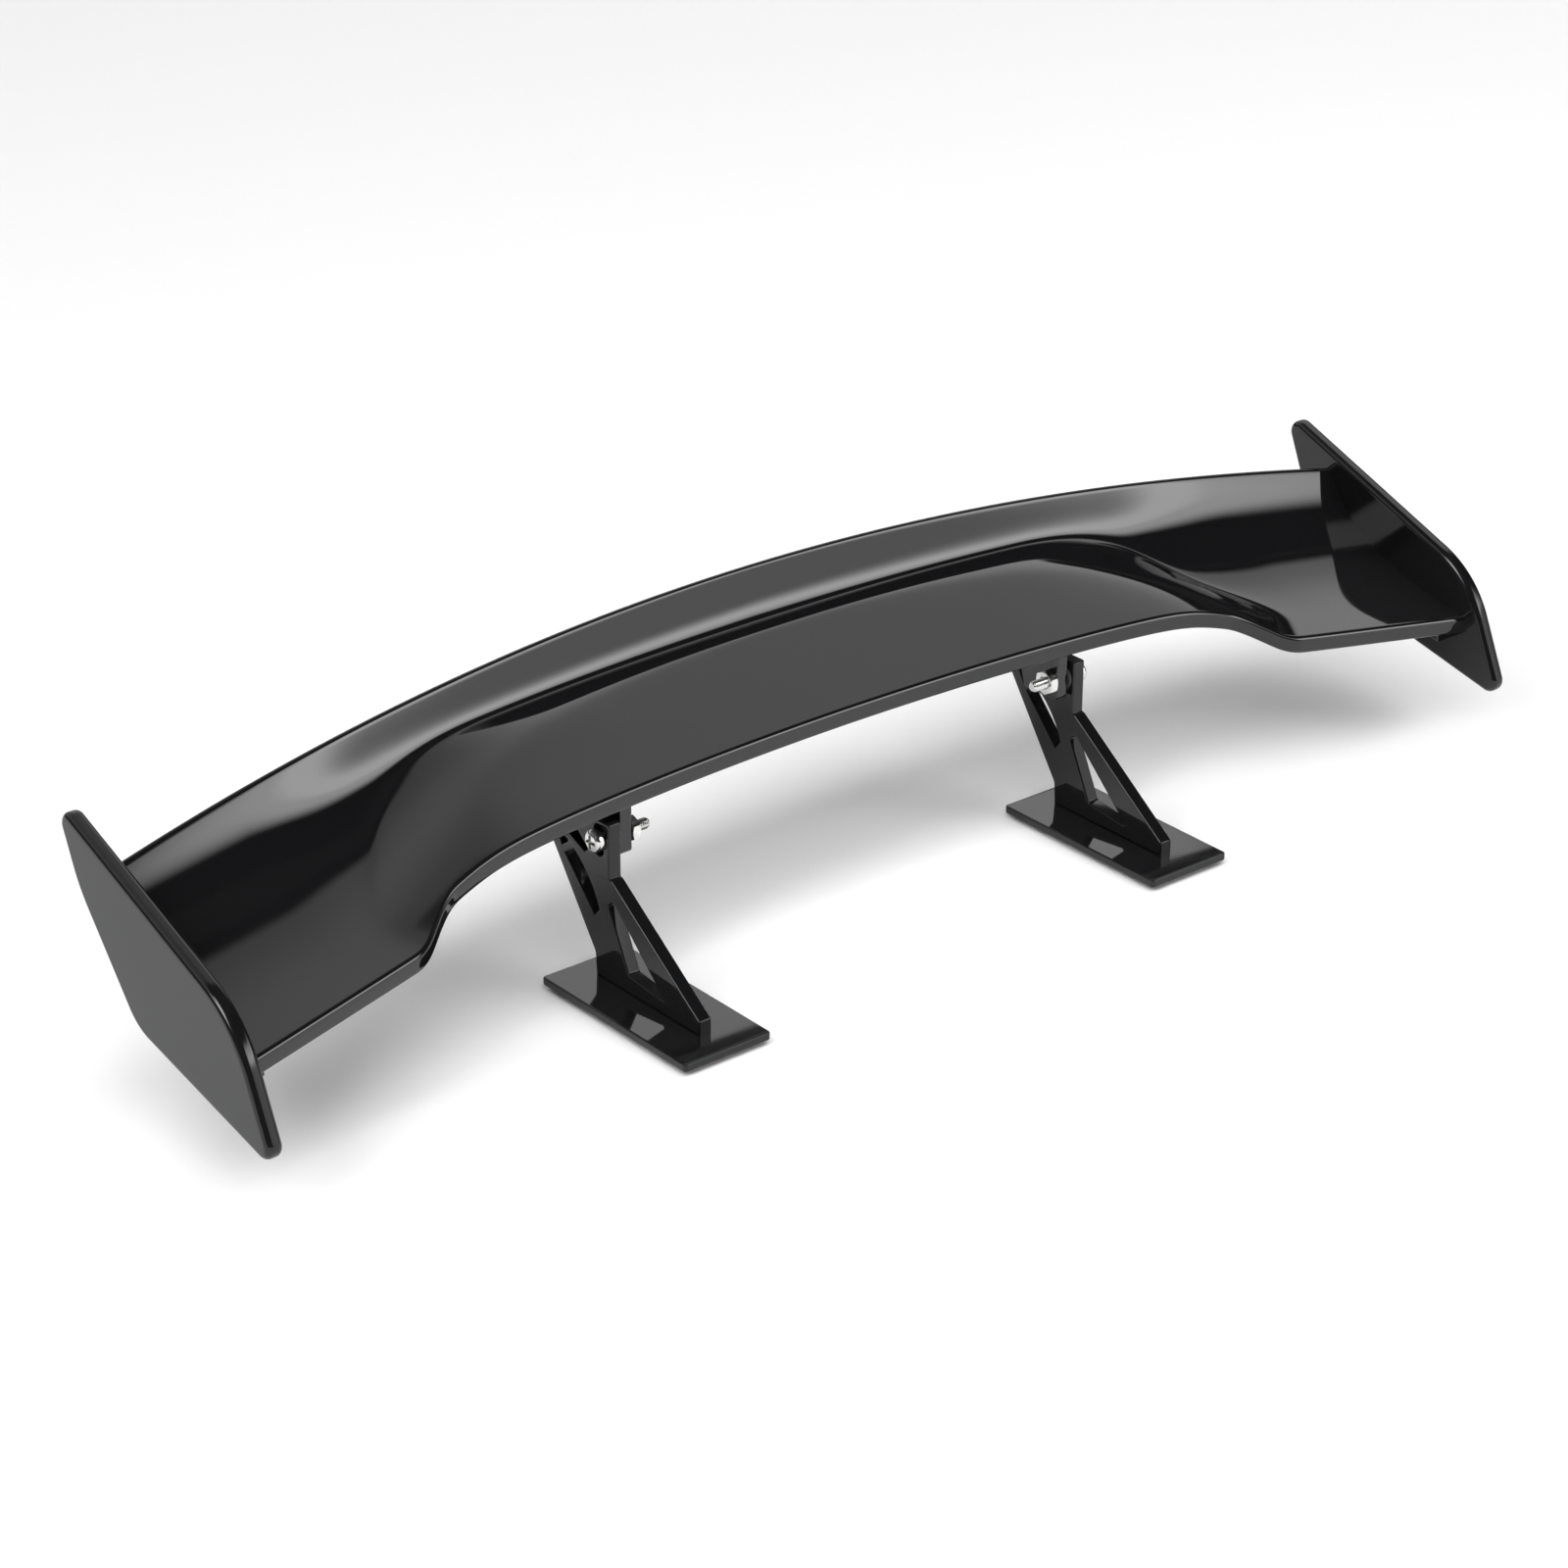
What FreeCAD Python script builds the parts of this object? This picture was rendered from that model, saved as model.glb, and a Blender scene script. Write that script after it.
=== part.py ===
"""Small stick-on rear wing for a car's boot lid: an arched blade between two endplates, tilting on two uprights.

Millimetres. X runs along the span, +Y points to the trailing edge, +Z is up. The origin is on the boot lid,
under the middle of the wing's box. Left is -X and right is +X, as seen from the leading edge.
"""

import FreeCAD
import Part
import Sketcher
import math
import os

Vector = FreeCAD.Vector

SIDES = {"left": -1, "right": 1}

DIMENSIONS = {
    # whole wing
    "span": 270.0,
    "endplate_thick": 3.0,
    "endplate_rim": 1.1,
    # foot plate, adhesive pad and release liner
    "liner_thick": 0.1,
    "pad_thick": 0.5,
    "pad_inset": 1.5,
    "foot_middle": 51.1,
    "foot_wide": 17.6,
    "foot_front": -30.7,
    "foot_long": 38.0,
    "foot_thick": 1.5,
    "foot_corner": 0.6,
    "foot_bevel": 0.35,
    # upright plate and the two tabs that bond it into the foot plate
    "upright_inner": 49.8,
    "upright_thick": 2.5,
    "toe_front": -24.7,
    "toe_high": 2.5,
    "column_front": -1.3,
    "ledge": 0.5,
    "ledge_high": 18.7,
    "upright_high": 28.5,
    "tab_long": 5.0,
    "tab_deep": 1.0,
    "tab_front": -21.5,
    "tab_back": -4.0,
    "bond_gap": 0.05,
    # pivot hardware, an M2 set
    "pivot_y": 1.35,
    "pivot_z": 27.2,
    "screw_radius": 1.0,
    "hole_radius": 1.05,
    "slot_half": 1.2,
    "slot_low": 24.2,
    "slot_high": 29.9,
    "screw_tip": 42.35,
    "head_radius": 1.95,
    "head_thick": 1.8,
    "head_round": 0.7,
    "recess_wide": 0.5,
    "recess_long": 2.2,
    "recess_deep": 0.9,
    "nut_flats": 4.0,
    "nut_thick": 1.6,
    "washer_radius": 2.3,
    "washer_thick": 0.5,
    "face_gap": 0.05,
    # blade: both edges are parabolas or straight lines in plan and in front view
    "trailing_y": 30.7,
    "trailing_z": 51.4,
    "trailing_sweep": 0.0007,
    "trailing_arch": 0.0006,
    "panel_y": 1.6,
    "panel_z": 31.7,
    "panel_sweep": 0.0009,
    "panel_slope": 0.394,
    "outer_at": 100.0,
    "outer_y": -12.06,
    "outer_z": 22.45,
    "outer_sweep": 0.194,
    "outer_drop": 0.0925,
    "camber_share": 0.36,
    "end_power": 3.8,
    "middle_power": 5.1,
    "power_from": 80.0,
    "power_to": 108.0,
    "panel_half": 76.0,
    "panel_chord": 0.70,
    "panel_round": 3.0,
    "middle_ease": 0.012,
    "end_ease": 0.10,
    "valley_ease": 0.7,
    "rear_fall": 8.8,
    "rear_share": 0.8,
    "side_fall": 30.5,
    "front_fall": 22.0,
    "front_chord": 0.5,
    "late_fall": 30.0,
    "advance_from": 84.0,
    "advance_to": 97.0,
    "lip": 3.2,
    "lip_chord": 0.1,
    "wall": 2.2,
    "thin_chord": 0.85,
    "edge_thick": 2.4,
    # lugs under the blade and the ribs at its ends
    "lug_inner": 46.8,
    "lug_thick": 2.4,
    "lug_low": 23.8,
    "lug_front": -0.3,
    "lug_heel": 8.0,
    "lug_back": 12.5,
    "rib_thick": 4.0,
    "rib_deep": 3.2,
    "rib_front_chord": 0.05,
    "rib_back_chord": 0.92,
    "peg_radius": 1.0,
    "peg_long": 3.0,
    "peg_drop": 1.8,
    "peg_front_chord": 0.25,
    "peg_back_chord": 0.78,
}

doc = FreeCAD.newDocument("rear_wing")
sheet = doc.addObject("Spreadsheet::Sheet", "spec")
for row, (alias, value) in enumerate(DIMENSIONS.items(), start=1):
    sheet.set(f"A{row}", alias)
    sheet.set(f"B{row}", str(value))
    sheet.setAlias(f"B{row}", alias)
doc.recompute()

FOOT_LOW = "(spec.liner_thick + spec.pad_thick)"
FOOT_TOP = "(spec.liner_thick + spec.pad_thick + spec.foot_thick)"


def size(alias):
    """One driving dimension, read from the sheet."""
    return float(sheet.get(alias))


def value_of(expression):
    """The number that a sheet expression comes to."""
    result = sheet.evalExpression(expression)
    return float(getattr(result, "Value", result))


def slab_start(side, inner, thick):
    """Where a slab lying between |x| = inner and inner + thick starts along X, on either side."""
    return f"({inner})" if SIDES[side] > 0 else f"(-({inner}) - ({thick}))"


# ---------------------------------------------------------------- sketched bodies


def new_body(label):
    body = doc.addObject("PartDesign::Body", label)
    body.Label = label
    return body


def new_sketch(body, plane, offset):
    """A sketch on one of the body's own origin planes, shifted along the plane's normal."""
    sketch = body.newObject("Sketcher::SketchObject", body.Label + "_sketch")
    support = next(f for f in body.Origin.OriginFeatures if f.Role == plane)
    sketch.AttachmentSupport = [(support, "")]
    sketch.MapMode = "FlatFace"
    sketch.setExpression("AttachmentOffset.Base.z", offset)
    return sketch


def pin(sketch, geometry, end, place):
    """Dimension one point from the sketch's origin, both ways bound to expressions."""
    for kind, expression in zip(("DistanceX", "DistanceY"), place):
        rule = Sketcher.Constraint(kind, -1, 1, geometry, end, value_of(expression))
        index = sketch.addConstraint(rule)
        sketch.setExpression(f"Constraints[{index}]", expression)


def bend(start, stop, radius):
    """The arc from start to stop that bulges to the right of the way from one to the other."""
    along = stop - start
    half = along.Length / 2
    rise = radius - math.sqrt(max(radius**2 - half**2, 0.0))
    right = Vector(along.y, -along.x, 0).normalize()
    return Part.Arc(start, (start + stop) / 2 + right * rise, stop)


def outline(sketch, corners, bends=None):
    """A closed outline through corners, each a pair of expressions; bends gives an edge's radius by number."""
    bends = bends or {}
    points = [Vector(value_of(across), value_of(up), 0) for across, up in corners]
    edges = []
    for number, (start, stop) in enumerate(zip(points, points[1:] + points[:1])):
        if number not in bends:
            edges.append((sketch.addGeometry(Part.LineSegment(start, stop)), 1, 2))
            continue
        index = sketch.addGeometry(bend(start, stop, value_of(bends[number])))
        forward = sketch.Geometry[index].StartPoint.distanceToPoint(start) < 1e-6
        edges.append((index, 1, 2) if forward else (index, 2, 1))
    for number, (index, begin, end) in enumerate(edges):
        after, after_begin, after_end = edges[(number + 1) % len(edges)]
        sketch.addConstraint(Sketcher.Constraint("Coincident", index, end, after, after_begin))
        pin(sketch, index, begin, corners[number])
        if number in bends:
            radius = value_of(bends[number])
            rule = sketch.addConstraint(Sketcher.Constraint("Radius", index, radius))
            sketch.setExpression(f"Constraints[{rule}]", bends[number])


def circle(sketch, place, radius):
    centre = Vector(value_of(place[0]), value_of(place[1]), 0)
    index = sketch.addGeometry(Part.Circle(centre, Vector(0, 0, 1), value_of(radius)))
    pin(sketch, index, 3, place)
    rule = sketch.addConstraint(Sketcher.Constraint("Radius", index, value_of(radius)))
    sketch.setExpression(f"Constraints[{rule}]", radius)


def extrude(body, kind, sketch, length, reverse=False):
    feature = body.newObject(kind, body.Label + kind[-3:])
    feature.Profile = sketch
    feature.setExpression("Length", length)
    feature.Reversed = reverse
    doc.recompute()
    return feature


def dress(body, kind, base, edges, amount, expression):
    """A fillet or chamfer over the numbered edges of the base feature."""
    feature = body.newObject(kind, body.Label + kind.split("::")[1])
    feature.Base = (base, [f"Edge{number}" for number in edges])
    feature.setExpression(amount, expression)
    doc.recompute()
    return feature


def edges_where(feature, test):
    return [n for n, edge in enumerate(feature.Shape.Edges, start=1) if test(edge)]


def along_axis(edge, axis):
    """Whether a straight edge runs along the axis."""
    if not isinstance(edge.Curve, Part.Line):
        return False
    return abs(abs(edge.tangentAt(edge.FirstParameter).dot(axis)) - 1) < 1e-6


def in_plane(edge, axis, level):
    """Whether the whole edge lies in the plane at this level along the axis."""
    box = edge.BoundBox
    low = Vector(box.XMin, box.YMin, box.ZMin).dot(axis)
    high = Vector(box.XMax, box.YMax, box.ZMax).dot(axis)
    return abs(low - level) < 1e-4 and abs(high - level) < 1e-4


X_AXIS = Vector(1, 0, 0)
Z_AXIS = Vector(0, 0, 1)


# ---------------------------------------------------------------- blade surface


def step(value):
    """Smooth step from 0 to 1."""
    value = min(max(value, 0.0), 1.0)
    return value * value * (3 - 2 * value)


def trailing_edge(reach):
    return Vector(
        0,
        size("trailing_y") - size("trailing_sweep") * reach**2,
        size("trailing_z") - size("trailing_arch") * reach**2,
    )


def panel_edge(reach):
    """Leading edge of the raised middle panel, along its upper corner."""
    return Vector(0, size("panel_y") - size("panel_sweep") * reach**2, size("panel_z") + size("lip"))


def outer_edge(reach):
    """Leading edge of the lower surface that runs out to the endplates, along its upper corner."""
    outboard = reach - size("outer_at")
    return Vector(
        0,
        size("outer_y") - size("outer_sweep") * outboard,
        size("outer_z") - size("outer_drop") * outboard + size("lip"),
    )


def leading_y(reach):
    """Leading edge in plan: the panel's out to advance_from, then forward to the outer one at advance_to."""
    share = step((reach - size("advance_from")) / (size("advance_to") - size("advance_from")))
    return panel_edge(reach).y * (1 - share) + outer_edge(reach).y * share


def panel_height(reach, y):
    """The raised panel rises evenly from its leading edge."""
    start = panel_edge(reach)
    return start.z + size("panel_slope") * (y - start.y)


def flap_height(reach, y):
    """The concave surface behind and beside the panel, which steepens towards the trailing edge."""
    start = outer_edge(reach)
    stop = trailing_edge(reach)
    chord = (y - start.y) / (stop.y - start.y)
    outboard = step((reach - size("power_from")) / (size("power_to") - size("power_from")))
    power = size("middle_power") + (size("end_power") - size("middle_power")) * outboard
    share = size("camber_share")
    camber = share * chord + (1 - share) * max(chord, 0.0) ** power
    return start.z + camber * (stop.z - start.z)


def eased(value, ease):
    """The value where it is positive and 0 where it is negative, with this much easing between."""
    return (value + math.hypot(value, ease)) / 2


def panel_fall(reach, y):
    """How far the panel has dropped beyond its rounded outline: a little behind it, steeply beside it."""
    front = panel_edge(reach).y
    chord = max((y - front) / (trailing_edge(reach).y - front), 0.0)
    power = size("panel_round")
    sideways = (reach / size("panel_half")) ** power
    rearward = (chord / size("panel_chord")) ** power
    ease = size("middle_ease") + (size("end_ease") - size("middle_ease")) * step(reach / size("panel_half"))
    beyond = eased((sideways + rearward) ** (1 / power) - 1, ease)
    behind = step(rearward / (sideways + rearward) / size("rear_share")) if rearward else 0.0
    ahead = step(1 - chord / size("front_chord"))
    side = size("side_fall") + (size("front_fall") - size("side_fall")) * ahead + size("late_fall") * beyond
    return beyond * (size("rear_fall") * behind + side * (1 - behind))


def top_point(x, chord):
    """A point of the upper surface, chord running from 0 at the leading edge to 1 at the trailing edge."""
    reach = abs(x)
    start = leading_y(reach)
    y = start + chord * (trailing_edge(reach).y - start)
    flap = flap_height(reach, y)
    panel = panel_height(reach, y) - panel_fall(reach, y)
    return Vector(x, y, flap + eased(panel - flap, size("valley_ease")))


def depth_below(x, chord):
    """Vertical thickness of the blade: the lip, then the wall square to the surface, then the thin edge."""
    step_size = 0.01
    before = top_point(x, max(chord - step_size, 0))
    after = top_point(x, min(chord + step_size, 1))
    slant = math.hypot(1, (after.z - before.z) / (after.y - before.y))
    thinning = step((chord - size("thin_chord")) / (1 - size("thin_chord")))
    wall = size("wall") + (size("edge_thick") - size("wall")) * thinning
    behind_lip = step(chord / size("lip_chord"))
    return size("lip") * (1 - behind_lip) + wall * slant * behind_lip


def under_point(x, chord):
    return top_point(x, chord) - Vector(0, 0, depth_below(x, chord))


def middle_point(x, chord):
    return (top_point(x, chord) + under_point(x, chord)) / 2


def blade_skin():
    """The blade as a solid between its upper and lower surfaces."""
    stations = 89
    chords = 41
    half = size("span") / 2 - size("endplate_thick")
    xs = [-half + 2 * half * i / (stations - 1) for i in range(stations)]
    shares = [i / (chords - 1) for i in range(chords)]
    surfaces = []
    for point in (top_point, under_point):
        surface = Part.BSplineSurface()
        surface.interpolate([[point(x, chord) for chord in shares] for x in xs])
        surfaces.append(surface)
    u_low, u_high, v_low, v_high = surfaces[0].bounds()
    faces = [surface.toShape() for surface in surfaces]
    for iso, level in (("vIso", v_low), ("vIso", v_high), ("uIso", u_low), ("uIso", u_high)):
        upper, lower = (getattr(surface, iso)(level).toShape() for surface in surfaces)
        faces.append(Part.makeRuledSurface(upper, lower))
    shell = Part.makeShell(faces)
    shell.sewShape()
    solid = Part.makeSolid(Part.Shell(shell.Faces))
    return solid if solid.Volume > 0 else solid.reversed()


def plate(points, start, thick):
    """A flat plate with this outline in Y and Z, from x = start over thick."""
    wire = Part.makePolygon([Vector(start, p.y, p.z) for p in points + points[:1]])
    return Part.Face(wire).extrude(Vector(thick, 0, 0))


def chord_at(reach, y):
    """Chord share of a place this far back."""
    front = leading_y(reach)
    return (y - front) / (trailing_edge(reach).y - front)


def blade_lug(sign):
    """The plate under the blade that the pivot screw passes through."""
    reach = size("lug_inner") + size("lug_thick") / 2
    front, back = size("lug_front"), size("lug_back")
    ys = [back + (front - back) * i / 6 for i in range(7)]
    root = [middle_point(reach, chord_at(reach, y)) for y in ys]
    low = size("lug_low")
    outline_points = [Vector(0, front, low), Vector(0, size("lug_heel"), low)] + root
    start = size("lug_inner") if sign > 0 else -size("lug_inner") - size("lug_thick")
    lug = plate(outline_points, start, size("lug_thick"))
    hole = Part.makeCylinder(
        size("hole_radius"), size("lug_thick"), Vector(start, size("pivot_y"), size("pivot_z")), X_AXIS
    )
    return lug.cut(hole)


def peg_centre(chord):
    """Centre of an endplate peg, below the blade's end at this chord share."""
    reach = size("span") / 2 - size("endplate_thick")
    return middle_point(reach, chord) - Vector(0, 0, size("peg_drop"))


def end_rib(sign):
    """The rib under the blade's end, with a blind hole for each endplate peg."""
    reach = size("span") / 2 - size("endplate_thick")
    first, last = size("rib_front_chord"), size("rib_back_chord")
    shares = [first + (last - first) * i / 12 for i in range(13)]
    upper = [middle_point(reach, chord) for chord in shares]
    lower = [point - Vector(0, 0, size("rib_deep") + size("wall") / 2) for point in reversed(upper)]
    start = reach - size("rib_thick") if sign > 0 else -reach
    rib = plate(upper + lower, start, size("rib_thick"))
    return rib


def peg_holes(sign):
    reach = size("span") / 2 - size("endplate_thick")
    holes = []
    for alias in ("peg_front_chord", "peg_back_chord"):
        centre = peg_centre(size(alias))
        mouth = Vector(sign * reach, centre.y, centre.z)
        deep = size("peg_long") + size("bond_gap")
        radius = size("peg_radius") + size("bond_gap")
        holes.append(Part.makeCylinder(radius, deep, mouth, Vector(-sign, 0, 0)))
    return holes


def wing_blade():
    shape = blade_skin()
    for sign in SIDES.values():
        shape = shape.fuse([blade_lug(sign), end_rib(sign)])
        shape = shape.cut(peg_holes(sign))
    blade = doc.addObject("Part::Feature", "wing_blade")
    blade.Shape = shape
    return blade


# ---------------------------------------------------------------- endplates

ENDPLATE_CORNERS = [
    # y, z and the radius that rounds the corner, clockwise from the upper tip as seen from the right
    (30.4, 49.2, 2.2),
    (24.6, 35.7, 25.0),
    (9.5, 17.3, 10.0),
    (-28.2, 9.0, 2.2),
    (-18.3, 31.0, 20.0),
]


def endplate(side):
    body = new_body(f"endplate_{side}")
    inner = "spec.span / 2 - spec.endplate_thick"
    sketch = new_sketch(body, "YZ_Plane", slab_start(side, inner, "spec.endplate_thick"))
    outline(sketch, [(str(y), str(z)) for y, z, radius in ENDPLATE_CORNERS])
    feature = extrude(body, "PartDesign::Pad", sketch, "spec.endplate_thick")
    for y, z, radius in ENDPLATE_CORNERS:

        def at_corner(edge):
            centre = edge.CenterOfMass
            return along_axis(edge, X_AXIS) and math.hypot(centre.y - y, centre.z - z) < 0.01

        feature = dress(
            body, "PartDesign::Fillet", feature, edges_where(feature, at_corner), "Radius", str(radius)
        )
    box = feature.Shape.BoundBox
    rims = edges_where(
        feature, lambda edge: in_plane(edge, X_AXIS, box.XMin) or in_plane(edge, X_AXIS, box.XMax)
    )
    dress(body, "PartDesign::Fillet", feature, rims, "Radius", "spec.endplate_rim")
    pegs = new_sketch(body, "YZ_Plane", f"{SIDES[side]} * ({inner})")
    for alias in ("peg_front_chord", "peg_back_chord"):
        centre = peg_centre(size(alias))
        circle(pegs, (f"{centre.y:.3f}", f"{centre.z:.3f}"), "spec.peg_radius")
    extrude(body, "PartDesign::Pad", pegs, "spec.peg_long", reverse=SIDES[side] > 0)
    return body


# ---------------------------------------------------------------- legs


def upright(side):
    """The truss plate of one leg, with tabs below and the pivot's slot at the top."""
    body = new_body(f"upright_{side}")
    sketch = new_sketch(
        body, "YZ_Plane", slab_start(side, "spec.upright_inner", "spec.upright_thick")
    )
    tab_low = f"{FOOT_TOP} - spec.tab_deep"
    brace_y = "spec.column_front - spec.ledge"
    ledge_z = f"{FOOT_TOP} + spec.ledge_high"
    top_z = f"{FOOT_TOP} + spec.upright_high"
    outer = [("spec.toe_front", FOOT_TOP)]
    for tab in ("spec.tab_front", "spec.tab_back"):
        outer += [(tab, FOOT_TOP), (tab, tab_low)]
        outer += [(f"{tab} + spec.tab_long", tab_low), (f"{tab} + spec.tab_long", FOOT_TOP)]
    outer += [
        ("spec.tab_back + spec.tab_long + 1.5", FOOT_TOP),
        ("2.8", f"{FOOT_TOP} + 4.0"),
        ("16.2", "25.4"),
        ("3.0", top_z),
        ("spec.column_front", top_z),
        ("spec.column_front", ledge_z),
        (brace_y, ledge_z),
        ("spec.toe_front", f"{FOOT_TOP} + spec.toe_high"),
    ]
    outline(sketch, outer)
    outline(sketch, [("-15.9", "4.3"), ("-6.2", "5.4"), ("-0.9", "16.0"), ("-2.2", "17.0")])
    outline(
        sketch,
        [("1.5", "14.3"), ("2.8", "12.9"), ("10.6", "21.2"), ("8.3", "22.8")],
        bends={3: "18.0"},
    )
    outline(sketch, [("11.4", "22.4"), ("13.0", "25.0"), ("9.6", "23.7")])
    outline(sketch, [("4.4", "24.2"), ("5.2", "23.5"), ("9.9", "25.5"), ("7.9", "27.3")])
    front = "spec.pivot_y - spec.slot_half"
    back = "spec.pivot_y + spec.slot_half"
    low = "spec.slot_low + spec.slot_half"
    high = "spec.slot_high - spec.slot_half"
    outline(
        sketch,
        [(front, low), (back, low), (back, high), (front, high)],
        bends={0: "spec.slot_half", 2: "spec.slot_half"},
    )
    extrude(body, "PartDesign::Pad", sketch, "spec.upright_thick")
    return body


def rectangle(sketch, low_x, low_y, high_x, high_y):
    outline(sketch, [(low_x, low_y), (high_x, low_y), (high_x, high_y), (low_x, high_y)])


def foot_rectangle(sketch, side, inset):
    middle = f"{SIDES[side]} * spec.foot_middle"
    rectangle(
        sketch,
        f"{middle} - spec.foot_wide / 2 + {inset}",
        f"spec.foot_front + {inset}",
        f"{middle} + spec.foot_wide / 2 - {inset}",
        f"spec.foot_front + spec.foot_long - {inset}",
    )


def foot_plate(side):
    body = new_body(f"foot_plate_{side}")
    sketch = new_sketch(body, "XY_Plane", FOOT_LOW)
    foot_rectangle(sketch, side, "0")
    block = extrude(body, "PartDesign::Pad", sketch, "spec.foot_thick")
    corners = edges_where(block, lambda edge: along_axis(edge, Z_AXIS))
    rounded = dress(body, "PartDesign::Fillet", block, corners, "Radius", "spec.foot_corner")
    top = edges_where(rounded, lambda edge: in_plane(edge, Z_AXIS, value_of(FOOT_TOP)))
    bevelled = dress(body, "PartDesign::Chamfer", rounded, top, "Size", "spec.foot_bevel")
    slots = new_sketch(body, "XY_Plane", FOOT_TOP)
    start = slab_start(side, "spec.upright_inner", "spec.upright_thick")
    for tab in ("spec.tab_front", "spec.tab_back"):
        rectangle(
            slots,
            f"{start} - spec.bond_gap",
            f"{tab} - spec.bond_gap",
            f"{start} + spec.upright_thick + spec.bond_gap",
            f"{tab} + spec.tab_long + spec.bond_gap",
        )
    extrude(body, "PartDesign::Pocket", slots, "spec.tab_deep + spec.bond_gap")
    if body.Shape.Volume >= bevelled.Shape.Volume:
        raise SystemExit("the tab slots cut nothing")
    return body


def flat_layer(label, side, offset, thick):
    """The adhesive pad or its liner, set in from the foot plate's edge."""
    body = new_body(f"{label}_{side}")
    sketch = new_sketch(body, "XY_Plane", offset)
    foot_rectangle(sketch, side, "spec.pad_inset")
    extrude(body, "PartDesign::Pad", sketch, thick)
    return body


# ---------------------------------------------------------------- pivot hardware


def place_on_pivot(item, start):
    """Turn a primitive's own Z onto X, and set its base on the pivot axis at x = start."""
    item.Placement = FreeCAD.Placement(Vector(), FreeCAD.Rotation(Vector(0, 1, 0), 90))
    item.setExpression("Placement.Base.x", start)
    item.setExpression("Placement.Base.y", "spec.pivot_y")
    item.setExpression("Placement.Base.z", "spec.pivot_z")


def pivot_cylinder(label, start, radius, length):
    item = doc.addObject("Part::Cylinder", label)
    item.setExpression("Radius", radius)
    item.setExpression("Height", length)
    place_on_pivot(item, start)
    return item


def boolean(kind, label, first, second):
    item = doc.addObject(kind, label)
    item.Base = first
    item.Tool = second
    item.Label = label
    return item


HEAD_SEAT = "(spec.upright_inner + spec.upright_thick + spec.face_gap)"


def pivot_screw(side):
    """Pan-head screw with a cross recess: head outboard, plain shank, end inboard of the nut."""
    name = f"pivot_screw_{side}"
    shank_long = f"{HEAD_SEAT} - spec.screw_tip"
    shank = pivot_cylinder(
        name + "_shank", slab_start(side, "spec.screw_tip", shank_long), "spec.screw_radius", shank_long
    )
    blank = pivot_cylinder(
        name + "_blank", slab_start(side, HEAD_SEAT, "spec.head_thick"), "spec.head_radius", "spec.head_thick"
    )
    doc.recompute()
    outer_face = SIDES[side] * value_of(f"{HEAD_SEAT} + spec.head_thick")
    rim = edges_where(blank, lambda edge: in_plane(edge, X_AXIS, outer_face))
    head = doc.addObject("Part::Fillet", name + "_head")
    head.Base = blank
    head.Edges = [(number, size("head_round"), size("head_round")) for number in rim]
    solid = boolean("Part::Fuse", name + "_solid", shank, head)
    for turn, (wide, tall) in enumerate((("long", "wide"), ("wide", "long"))):
        bar = doc.addObject("Part::Box", f"{name}_bar_{turn}")
        bar.setExpression("Length", "spec.recess_deep")
        bar.setExpression("Width", f"spec.recess_{wide}")
        bar.setExpression("Height", f"spec.recess_{tall}")
        deep_end = slab_start(side, f"{HEAD_SEAT} + spec.head_thick - spec.recess_deep", "spec.recess_deep")
        bar.setExpression("Placement.Base.x", deep_end)
        bar.setExpression("Placement.Base.y", f"spec.pivot_y - spec.recess_{wide} / 2")
        bar.setExpression("Placement.Base.z", f"spec.pivot_z - spec.recess_{tall} / 2")
        solid = boolean("Part::Cut", name if turn else name + "_slotted", solid, bar)
    return solid


def pivot_nut(side):
    name = f"pivot_nut_{side}"
    start = slab_start(side, "spec.lug_inner - spec.face_gap - spec.nut_thick", "spec.nut_thick")
    blank = doc.addObject("Part::Prism", name + "_blank")
    blank.Polygon = 6
    blank.setExpression("Circumradius", "spec.nut_flats / sqrt(3)")
    blank.setExpression("Height", "spec.nut_thick")
    place_on_pivot(blank, start)
    bore = pivot_cylinder(name + "_bore", start, "spec.hole_radius", "spec.nut_thick")
    return boolean("Part::Cut", name, blank, bore)


def friction_washer(side):
    """Washer that fills the gap between the blade's lug and the upright."""
    name = f"friction_washer_{side}"
    start = slab_start(side, "spec.lug_inner + spec.lug_thick + spec.face_gap", "spec.washer_thick")
    disc = pivot_cylinder(name + "_disc", start, "spec.washer_radius", "spec.washer_thick")
    bore = pivot_cylinder(name + "_bore", start, "spec.hole_radius", "spec.washer_thick")
    return boolean("Part::Cut", name, disc, bore)


# ---------------------------------------------------------------- the whole wing

pieces = [wing_blade()]
for side in SIDES:
    pieces += [
        endplate(side),
        upright(side),
        foot_plate(side),
        flat_layer("adhesive_pad", side, "spec.liner_thick", "spec.pad_thick"),
        flat_layer("pad_liner", side, "0", "spec.liner_thick"),
        pivot_screw(side),
        pivot_nut(side),
        friction_washer(side),
    ]
doc.recompute()

for item in doc.Objects:
    if "Invalid" in item.State or "Error" in item.State:
        raise SystemExit(f"{item.Label} failed: {item.State}")
os.makedirs("parts", exist_ok=True)
for piece in pieces:
    if piece.Shape.isNull() or not piece.Shape.isValid():
        raise SystemExit(f"{piece.Label} has no valid shape")
for piece in pieces:
    piece.Shape.exportStep(f"parts/{piece.Label}.step")
    box = piece.Shape.BoundBox
    print(f"{piece.Label}: {len(piece.Shape.Solids)} solid, {piece.Shape.Volume:.1f} mm3,",
          f"z {box.ZMin:.2f} to {box.ZMax:.2f}")
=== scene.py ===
"""Looks of a small stick-on rear wing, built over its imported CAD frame.

The wing's lengths are millimetres in the CAD's own frame, and become metres when a mesh is made.
Texture sizes, the floor, the lights and the camera are in metres.
X runs along the span, +Y points to the trailing edge, +Z is up.
"""

import math

import bmesh
import bpy
import numpy as np
from mathutils import Matrix, Vector


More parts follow.
